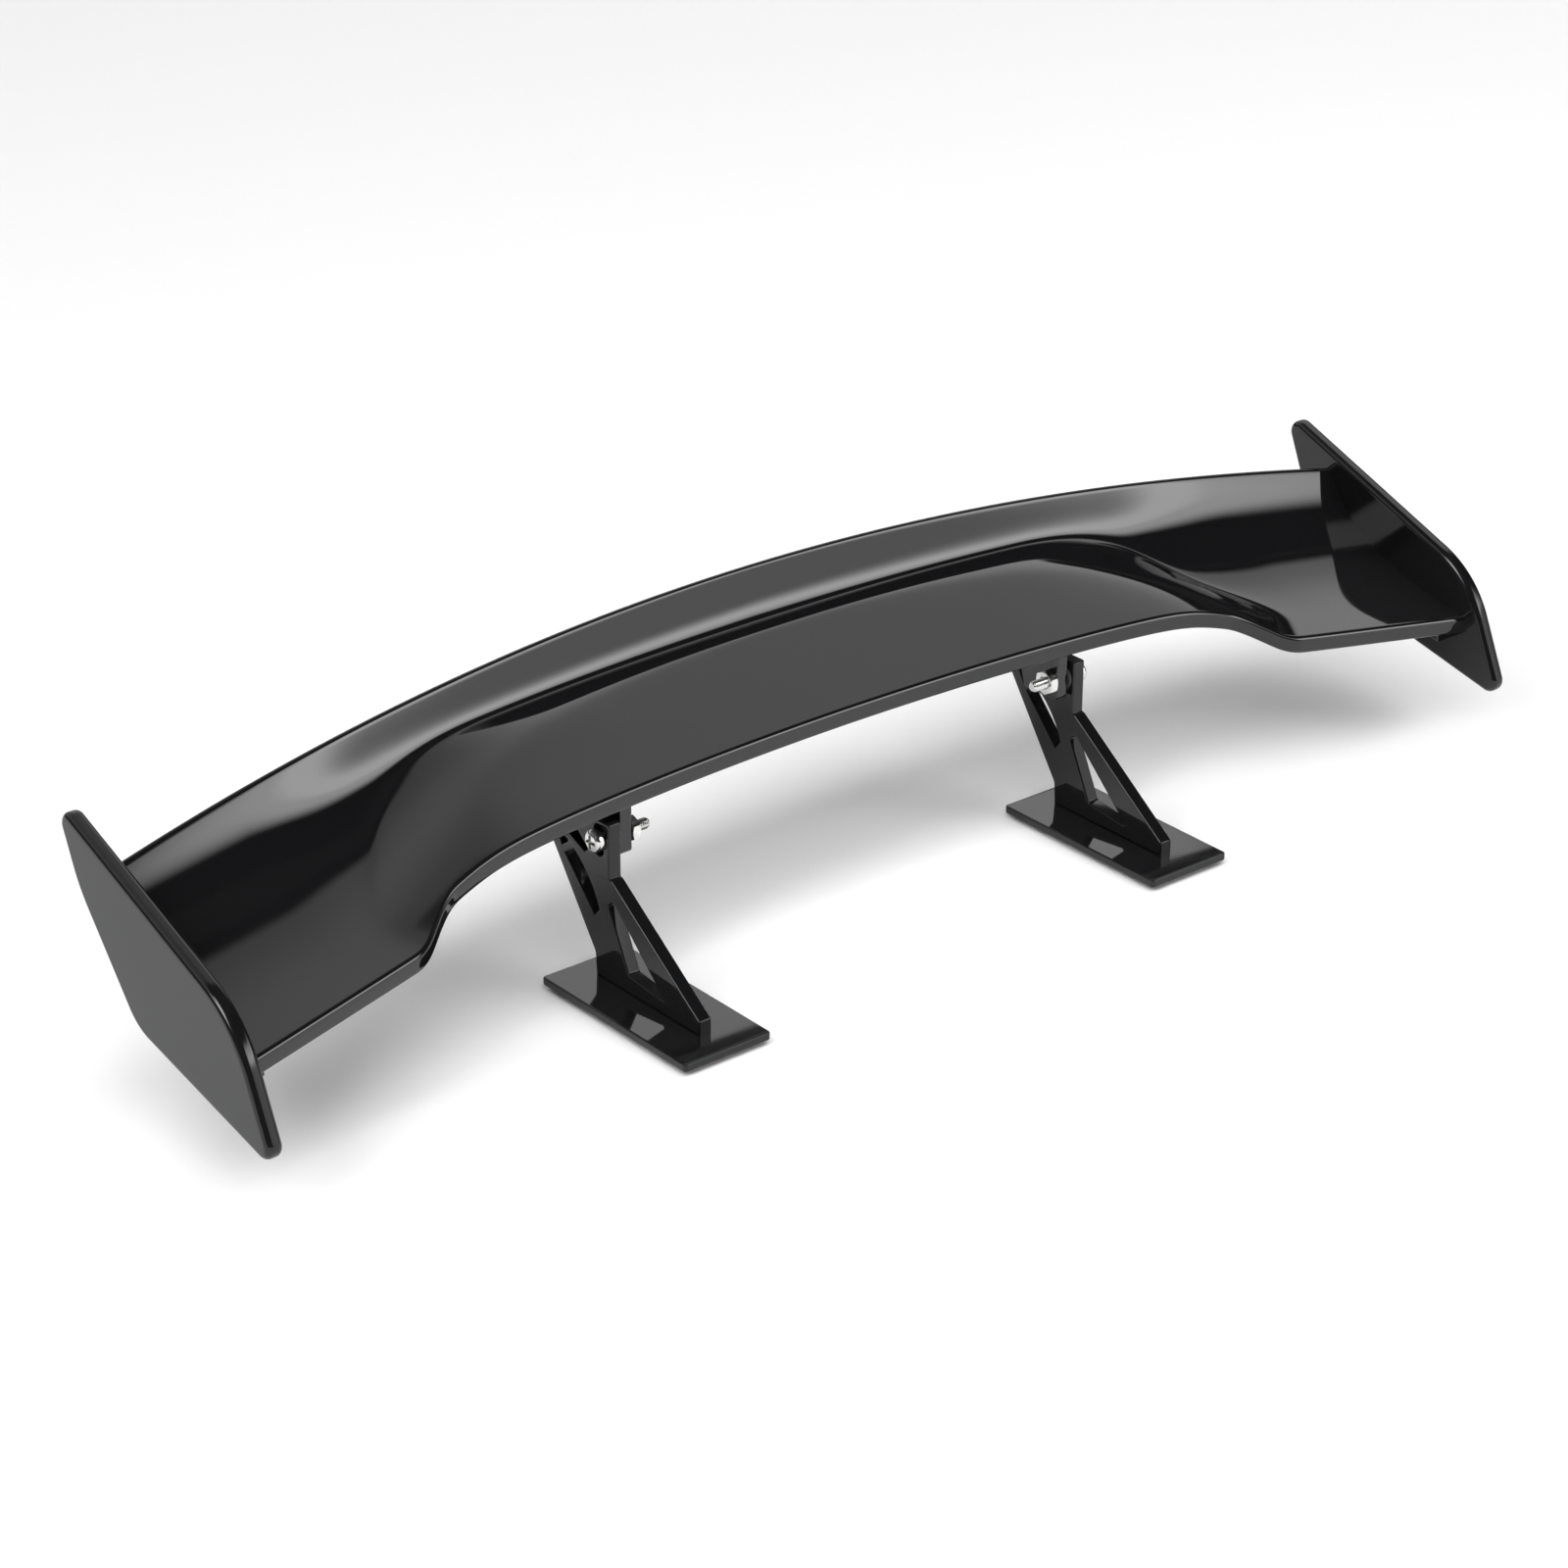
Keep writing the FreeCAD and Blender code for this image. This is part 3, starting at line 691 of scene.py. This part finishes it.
# flat pieces of each foot: CAD node, kind, radius of the corners, bevel and the bevel's steps
FOOT_SHEETS = (
    ("foot_plate", "leg", 0.6, 0.3, 3),
    ("adhesive_pad", "foam", 0.5, 0.06, 1),
    ("pad_liner", "liner", 0.5, 0.02, 1),
)


def arc_between(start, stop, radius, steps=10):
    """Points between start and stop, on the arc that bulges to the right of the way across."""
    start, stop = Vector(start), Vector(stop)
    along = stop - start
    half = along.length / 2
    rise = radius - math.sqrt(radius**2 - half**2)
    right = Vector((along.y, -along.x)).normalized()
    centre = (start + stop) / 2 - right * (radius - rise)
    first = start - centre
    turn = first.angle_signed(stop - centre)
    return [centre + Matrix.Rotation(-turn * k / steps, 2) @ first for k in range(1, steps)]


def upright_loops():
    """Outline of an upright, then its openings: triangle, slanted slot, windows, pivot slot."""
    outer = [
        (-24.7, FOOT_TOP),
        (2.5, FOOT_TOP),
        (2.8, FOOT_TOP + 4.0, 1.5),
        (16.2, 25.4, 0.8),
        (3.0, FOOT_TOP + 28.5, 1.0),
        (-1.3, FOOT_TOP + 28.5, 0.4),
        (-1.3, FOOT_TOP + 18.7, 0.25),
        (-1.8, FOOT_TOP + 18.7, 0.35),
        (-24.7, FOOT_TOP + 2.5, 0.4),
    ]
    triangle = [(-15.9, 4.3, 0.3), (-6.2, 5.4, 0.5), (-0.9, 16.0, 0.4), (-2.2, 17.0, 0.3)]
    rear = [Vector(p) for p in ((1.5, 14.3), (2.8, 12.9), (10.6, 21.2), (8.3, 22.8))]
    rear += arc_between((8.3, 22.8), (1.5, 14.3), 18.0)
    small = [(11.4, 22.4, 0.2), (13.0, 25.0, 0.2), (9.6, 23.7, 0.2)]
    upper = [(4.4, 24.2, 0.2), (5.2, 23.5, 0.2), (9.9, 25.5, 0.3), (7.9, 27.3, 0.3)]
    half_turn = [math.pi * k / 12 for k in range(13)]
    slot = on_circle((PIVOT[0], SLOT_HIGH), SLOT_HALF, half_turn)
    slot += on_circle((PIVOT[0], SLOT_LOW), SLOT_HALF, [math.pi + angle for angle in half_turn])
    windows = [rounded(small, 4), rounded(upper, 4)]
    return [rounded(outer, 8), rounded(triangle, 6), rear, *windows, slot]


def build_legs():
    """On each side the upright, and under it the foot plate, the adhesive pad and its liner."""
    for side in SIDES:
        body = f"leg_{side}"
        low, high = node_box(f"upright_{side}")
        name = f"upright_{side}_plate"
        place = upright_place((low[0] + high[0]) / 2)
        plate = sheet_mesh(name, upright_loops(), UPRIGHT_THICK, UPRIGHT_BEVEL, place, 3)
        add_piece(name, plate, body, "leg", replaces=(f"upright_{side}",))
        for node, kind, corner, bevel, rings in FOOT_SHEETS:
            low, high = node_box(f"{node}_{side}")
            corners = [
                (low[0], low[1], corner),
                (high[0], low[1], corner),
                (high[0], high[1], corner),
                (low[0], high[1], corner),
            ]
            name = f"{node}_{side}_sheet"
            place = Matrix.Translation((0, 0, (low[2] + high[2]) / 2))
            mesh = sheet_mesh(name, [rounded(corners, 8)], high[2] - low[2], bevel, place, rings)
            add_piece(name, mesh, body, kind, replaces=(f"{node}_{side}",))


# ---------------------------------------------------------------- pivot hardware

# X of the screw head's seat and of the screw's end, and of the inner faces of the nut and washer
SEAT, TIP = 52.35, 42.35
NUT_START, WASHER_START = 45.15, 49.25
SHANK_RADIUS, PITCH, THREAD_DEEP = 1.0, 0.4, 0.2
NUT_THICK, NUT_FLATS = 1.6, 4.0
WASHER_THICK, WASHER_RADIUS = 0.5, 2.3


def screw_head(sign):
    """Domed pan head, as a turned solid closed at both ends."""
    profile = [(0, 1.75), (0.1, 1.93), (0.9, 1.95)]
    for k in range(1, 11):
        angle = math.pi / 2 * k / 10
        profile.append((0.9 + 0.9 * math.sin(angle), 0.75 + 1.2 * math.cos(angle)))
    return turned(profile, SEAT, sign)


def cross_recess(sign):
    """Cutter for the cross recess: two tapered wings that meet in a point."""
    points, faces = [], []
    for lengthwise in (True, False):
        start = len(points)
        for depth, wide, long in ((1.9, 0.34, 1.35), (0.9, 0.24, 0.75), (0.55, 0.06, 0.2)):
            for a, b in ((-1, -1), (1, -1), (1, 1), (-1, 1)):
                across, up = (a * long, b * wide) if lengthwise else (a * wide, b * long)
                points.append((sign * (SEAT + depth), PIVOT[0] + across, PIVOT[1] + up))
        faces.append(tuple(start + i for i in range(4)))
        for ring in (0, 4):
            for i in range(4):
                a, b = start + ring + i, start + ring + (i + 1) % 4
                faces.append((a, b, b + 4, a + 4))
        faces.append(tuple(start + 8 + i for i in (3, 2, 1, 0)))
    return points, faces


def threaded_shank(sign):
    """The screw's shank with its rolled thread, running to a chamfered end."""
    segments, rows_per_turn = 40, 8
    rows = int((SEAT - TIP) / PITCH * rows_per_turn)
    points = []
    for row in range(rows + 1):
        along = (SEAT - TIP) * row / rows
        chamfer = min(1.0, 0.72 + (SEAT - TIP - along) / 0.45 * 0.28)
        for k in range(segments):
            phase = (along / PITCH - sign * k / segments) % 1.0
            groove = min(max((1 - abs(2 * phase - 1)) * 1.3 - 0.15, 0), 1)
            radius = (SHANK_RADIUS - THREAD_DEEP * groove) * chamfer
            points.append(around_pivot(sign * (SEAT - along), radius, 2 * math.pi * k / segments))
    faces = grid_faces(rows + 1, segments, wrap=True)
    faces.append(tuple(rows * segments + k for k in range(segments)))
    faces.append(tuple(reversed(range(segments))))
    return points, faces


def hex_nut(sign):
    """Hexagon nut with chamfered corners and a countersunk bore."""
    segments, sink = 120, 0.15
    flat = NUT_FLATS / 2 * 0.97
    points = []
    for k in range(segments):
        angle = 2 * math.pi * k / segments
        turn = (angle + math.pi / 6) % (math.pi / 3) - math.pi / 6
        edge = NUT_FLATS / 2 / math.cos(turn)
        chamfer = max(edge - flat, 0) * 0.58
        ring = [(sink, HOLE_RADIUS), (0, HOLE_RADIUS + sink), (0, flat), (chamfer, edge)]
        ring += [(NUT_THICK - along, radius) for along, radius in reversed(ring)]
        for along, radius in ring:
            points.append(around_pivot(sign * (NUT_START + along), radius, angle))
    count = len(ring)
    faces = []
    for k in range(segments):
        beside = (k + 1) % segments
        for i in range(count):
            j = (i + 1) % count
            faces.append((k * count + i, beside * count + i, beside * count + j, k * count + j))
    return points, faces


def washer(sign):
    """Plain nylon washer with eased edges."""
    ease = 0.08
    lower = [
        (ease, HOLE_RADIUS),
        (0, HOLE_RADIUS + ease),
        (0, WASHER_RADIUS - ease),
        (ease, WASHER_RADIUS),
    ]
    upper = [(WASHER_THICK - along, radius) for along, radius in reversed(lower)]
    return turned(lower + upper, WASHER_START, sign, ring=True)


def cut_away(mesh, cutter_mesh):
    """The mesh with the cutter's volume taken out of it."""
    blank = bpy.data.objects.new("blank", mesh)
    cutter = bpy.data.objects.new("cutter", cutter_mesh)
    for item in (blank, cutter):
        bpy.context.scene.collection.objects.link(item)
    cut = blank.modifiers.new("cut", "BOOLEAN")
    cut.operation = "DIFFERENCE"
    cut.solver = "EXACT"
    cut.object = cutter
    cut.use_self = True
    bpy.context.view_layer.update()
    depsgraph = bpy.context.evaluated_depsgraph_get()
    result = bpy.data.meshes.new_from_object(blank.evaluated_get(depsgraph))
    for item in (blank, cutter):
        bpy.data.objects.remove(item)
    return result


def build_hardware():
    """On each side the screw's head and thread, the nut and the washer."""
    for side, sign in SIDES.items():
        body = f"clamp_{side}"
        recess = mesh_from("recess", *cross_recess(sign))
        head = cut_away(mesh_from("head", *screw_head(sign)), recess)
        name = f"screw_head_{side}"
        head.name = name
        add_piece(name, head, body, "steel", sharp_degrees=35)
        name = f"screw_thread_{side}"
        thread = mesh_from(name, *threaded_shank(sign))
        add_piece(name, thread, body, "steel", replaces=(f"pivot_screw_{side}",), sharp_degrees=60)
        name = f"hex_nut_{side}"
        nut = mesh_from(f"nut_{side}", *hex_nut(sign))
        add_piece(name, nut, body, "steel", replaces=(f"pivot_nut_{side}",), sharp_degrees=25)
        name = f"washer_{side}"
        ring = mesh_from(name, *washer(sign))
        add_piece(name, ring, body, "nylon", replaces=(f"friction_washer_{side}",))


build_blade()
build_endplates()
build_legs()
build_hardware()


# ---------------------------------------------------------------- floor, lights and camera

# in metres and degrees
FLOOR_SIDE, FLOOR_GAP = 12.0, 0.0002
AIM = (0, 0, 0.03)
DIFFUSER_SIDE, DIFFUSER_PLACE, UNDER_DIFFUSER = 4.0, (0, 2.02, 1.0), (0, 2.02, 0)
SOFTBOX_SIDE, SOFTBOX_AZIMUTH, SOFTBOX_ELEVATION, SOFTBOX_FAR = 2.4, 42, 26.0, 1.8
LEFT_PANEL_SIDE, LEFT_PANEL_PLACE = 0.9, (-1.2, -0.05, 1.1)
FILL_PLACE, FILL_SIZE, FILL_POWER = (0, 0, 2.4), (5.0, 5.0), 240
SKY_STRENGTH = 0.03

CAMERA_PLACE = (-0.4253, -0.4964, 0.3378)
CAMERA_YAW, CAMERA_PITCH, CAMERA_ROLL = 39.6, 25.81, 0.4

# focal length as a share of the picture's width
CAMERA_LENS = 4386 / 1600
SENSOR_WIDTH = 36.0


def quad(name, size, material):
    """A square sheet, level and centred on the origin."""
    mesh = bpy.data.meshes.new(name)
    half = size / 2
    corners = [(-half, -half, 0), (half, -half, 0), (half, half, 0), (-half, half, 0)]
    mesh.from_pydata(corners, [], [(0, 1, 2, 3)])
    mesh.materials.append(material)
    item = bpy.data.objects.new(name, mesh)
    bpy.context.scene.collection.objects.link(item)
    return item


def build_floor():
    """A plain pale floor, just under the wing's feet."""
    material, tree, shader = new_material("pale_floor", Roughness=0.9, Specular_IOR_Level=0.1)
    tone = texture(tree, "ShaderNodeTexNoise", 3, Detail=2)
    colour = mix_colour(tree, tone.outputs["Fac"], (0.90, 0.90, 0.90), (0.92, 0.92, 0.92))
    tree.links.new(colour, shader.inputs["Base Color"])
    floor = quad("floor", FLOOR_SIDE, material)
    floor.location = (0, 0, cad_box[0][2] - FLOOR_GAP)


def turn_towards(item, place, target):
    """Puts a light or panel at a place, facing the target."""
    item.location = place
    item.rotation_euler = (Vector(target) - Vector(place)).to_track_quat("-Z", "Y").to_euler()


def area_light(name, place, target, size, power):
    """A soft light for the floor that leaves no reflection in the gloss."""
    light = bpy.data.lights.new(name, "AREA")
    light.shape = "RECTANGLE"
    light.size, light.size_y = size
    light.energy = power
    item = bpy.data.objects.new(name, light)
    turn_towards(item, place, target)
    item.visible_glossy = False
    item.visible_camera = False
    bpy.context.scene.collection.objects.link(item)


def glow_material(name, profile):
    """Emission whose strength is profile(tree, x, y) of the panel's own coordinates, in metres."""
    material = bpy.data.materials.new(name)
    material.use_nodes = True
    tree = material.node_tree
    tree.nodes.remove(tree.nodes["Principled BSDF"])
    coordinates = tree.nodes.new("ShaderNodeTexCoord")
    axes = tree.nodes.new("ShaderNodeSeparateXYZ")
    tree.links.new(coordinates.outputs["Object"], axes.inputs["Vector"])
    emission = tree.nodes.new("ShaderNodeEmission")
    tree.links.new(profile(tree, axes.outputs["X"], axes.outputs["Y"]), emission.inputs["Strength"])
    tree.links.new(emission.outputs["Emission"], tree.nodes["Material Output"].inputs["Surface"])
    return material


def ramp(tree, source, low, high, to_low, to_high):
    """remap, eased at both ends."""
    return remap(tree, source, low, high, to_low, to_high, soft=True)


def band(tree, source, start, full, fading, stop):
    """0 up to start, 1 from full to fading, and 0 again from stop on, eased between them."""
    rise = ramp(tree, source, start, full, 0, 1)
    return combine(tree, "MULTIPLY", rise, ramp(tree, source, fading, stop, 1, 0))


def light_panel(name, size, place, target, profile):
    """A glowing panel of the studio, seen only as light and reflection."""
    panel = quad(name, size, glow_material(name, profile))
    turn_towards(panel, place, target)
    panel.visible_camera = False


def diffuser_profile(tree, x, y):
    """Brighter to the right and to the rear; it fades at its right and front edges."""
    across = ramp(tree, x, 0.25, 0.95, 0.72, 1.35)
    rearward = ramp(tree, y, -1.85, -1.30, 0.85, 1.15)
    right_edge = ramp(tree, x, 1.50, 1.62, 1, 0)
    slant = combine(tree, "ADD", y, remap(tree, x, 0.30, 0.90, 0.03, 0.10))
    front_edge = ramp(tree, slant, -1.86, -1.74, 0, 1)
    glow = combine(tree, "MULTIPLY", across, rearward)
    return combine(tree, "MULTIPLY", glow, combine(tree, "MULTIPLY", right_edge, front_edge))


def softbox_profile(tree, x, y):
    """A bright bar with soft edges over an even, dimmer field."""
    bar_strength, field_strength = 5.0, 1.5
    sides = band(tree, x, -1.15, -0.45, 0.05, 0.50)
    bar = band(tree, y, -0.34, -0.10, 0.12, 0.42)
    bar = combine(tree, "MULTIPLY", bar, remap(tree, sides, 0, 1, 0, bar_strength))
    field = ramp(tree, y, -0.02, 0.10, 1, 0)
    field = combine(tree, "MULTIPLY", field, remap(tree, sides, 0, 1, 0, field_strength))
    return combine(tree, "ADD", bar, field)


def side_profile(tree, x, y):
    """An even panel that catches the leftward edges of the legs."""
    strength = 9.0
    sides = band(tree, x, -0.45, -0.30, 0.30, 0.45)
    ends = band(tree, y, -0.45, -0.30, 0.30, 0.45)
    return remap(tree, combine(tree, "MULTIPLY", sides, ends), 0, 1, 0, strength)


def build_lights():
    """A faint even sky, a diffuser behind, a softbox ahead, a panel at the left and a fill."""
    world = bpy.data.worlds.new("studio")
    world.use_nodes = True
    background = world.node_tree.nodes["Background"]
    background.inputs["Color"].default_value = (1, 1, 1, 1)
    background.inputs["Strength"].default_value = SKY_STRENGTH
    bpy.context.scene.world = world
    light_panel("rear_diffuser", DIFFUSER_SIDE, DIFFUSER_PLACE, UNDER_DIFFUSER, diffuser_profile)
    azimuth, elevation = math.radians(SOFTBOX_AZIMUTH), math.radians(SOFTBOX_ELEVATION)
    place = (
        SOFTBOX_FAR * math.sin(azimuth) * math.cos(elevation),
        -SOFTBOX_FAR * math.cos(azimuth) * math.cos(elevation),
        SOFTBOX_FAR * math.sin(elevation) + AIM[2],
    )
    light_panel("front_softbox", SOFTBOX_SIDE, place, AIM, softbox_profile)
    light_panel("left_panel", LEFT_PANEL_SIDE, LEFT_PANEL_PLACE, AIM, side_profile)
    area_light("top_fill", FILL_PLACE, (0, 0, 0), FILL_SIZE, FILL_POWER)


def build_camera():
    """The camera stands ahead of the wing, to its left, and looks down at it with a long lens."""
    yaw, pitch, roll = (math.radians(a) for a in (CAMERA_YAW, CAMERA_PITCH, CAMERA_ROLL))
    level = math.cos(pitch)
    forward = Vector((math.sin(yaw) * level, math.cos(yaw) * level, -math.sin(pitch)))
    right = Vector((math.cos(yaw), -math.sin(yaw), 0))
    facing = Matrix((right, right.cross(forward), -forward)).transposed()
    turn = (facing @ Matrix.Rotation(roll, 3, "Z")).to_4x4()
    data = bpy.data.cameras.new("camera")
    data.sensor_width = SENSOR_WIDTH
    data.lens = SENSOR_WIDTH * CAMERA_LENS
    data.clip_start = 0.01
    data.clip_end = 50
    camera = bpy.data.objects.new("camera", data)
    camera.matrix_world = Matrix.Translation(CAMERA_PLACE) @ turn
    bpy.context.scene.collection.objects.link(camera)
    bpy.context.scene.camera = camera


build_floor()
build_lights()
build_camera()
bpy.context.scene.view_settings.view_transform = "Standard"

bpy.context.view_layer.update()
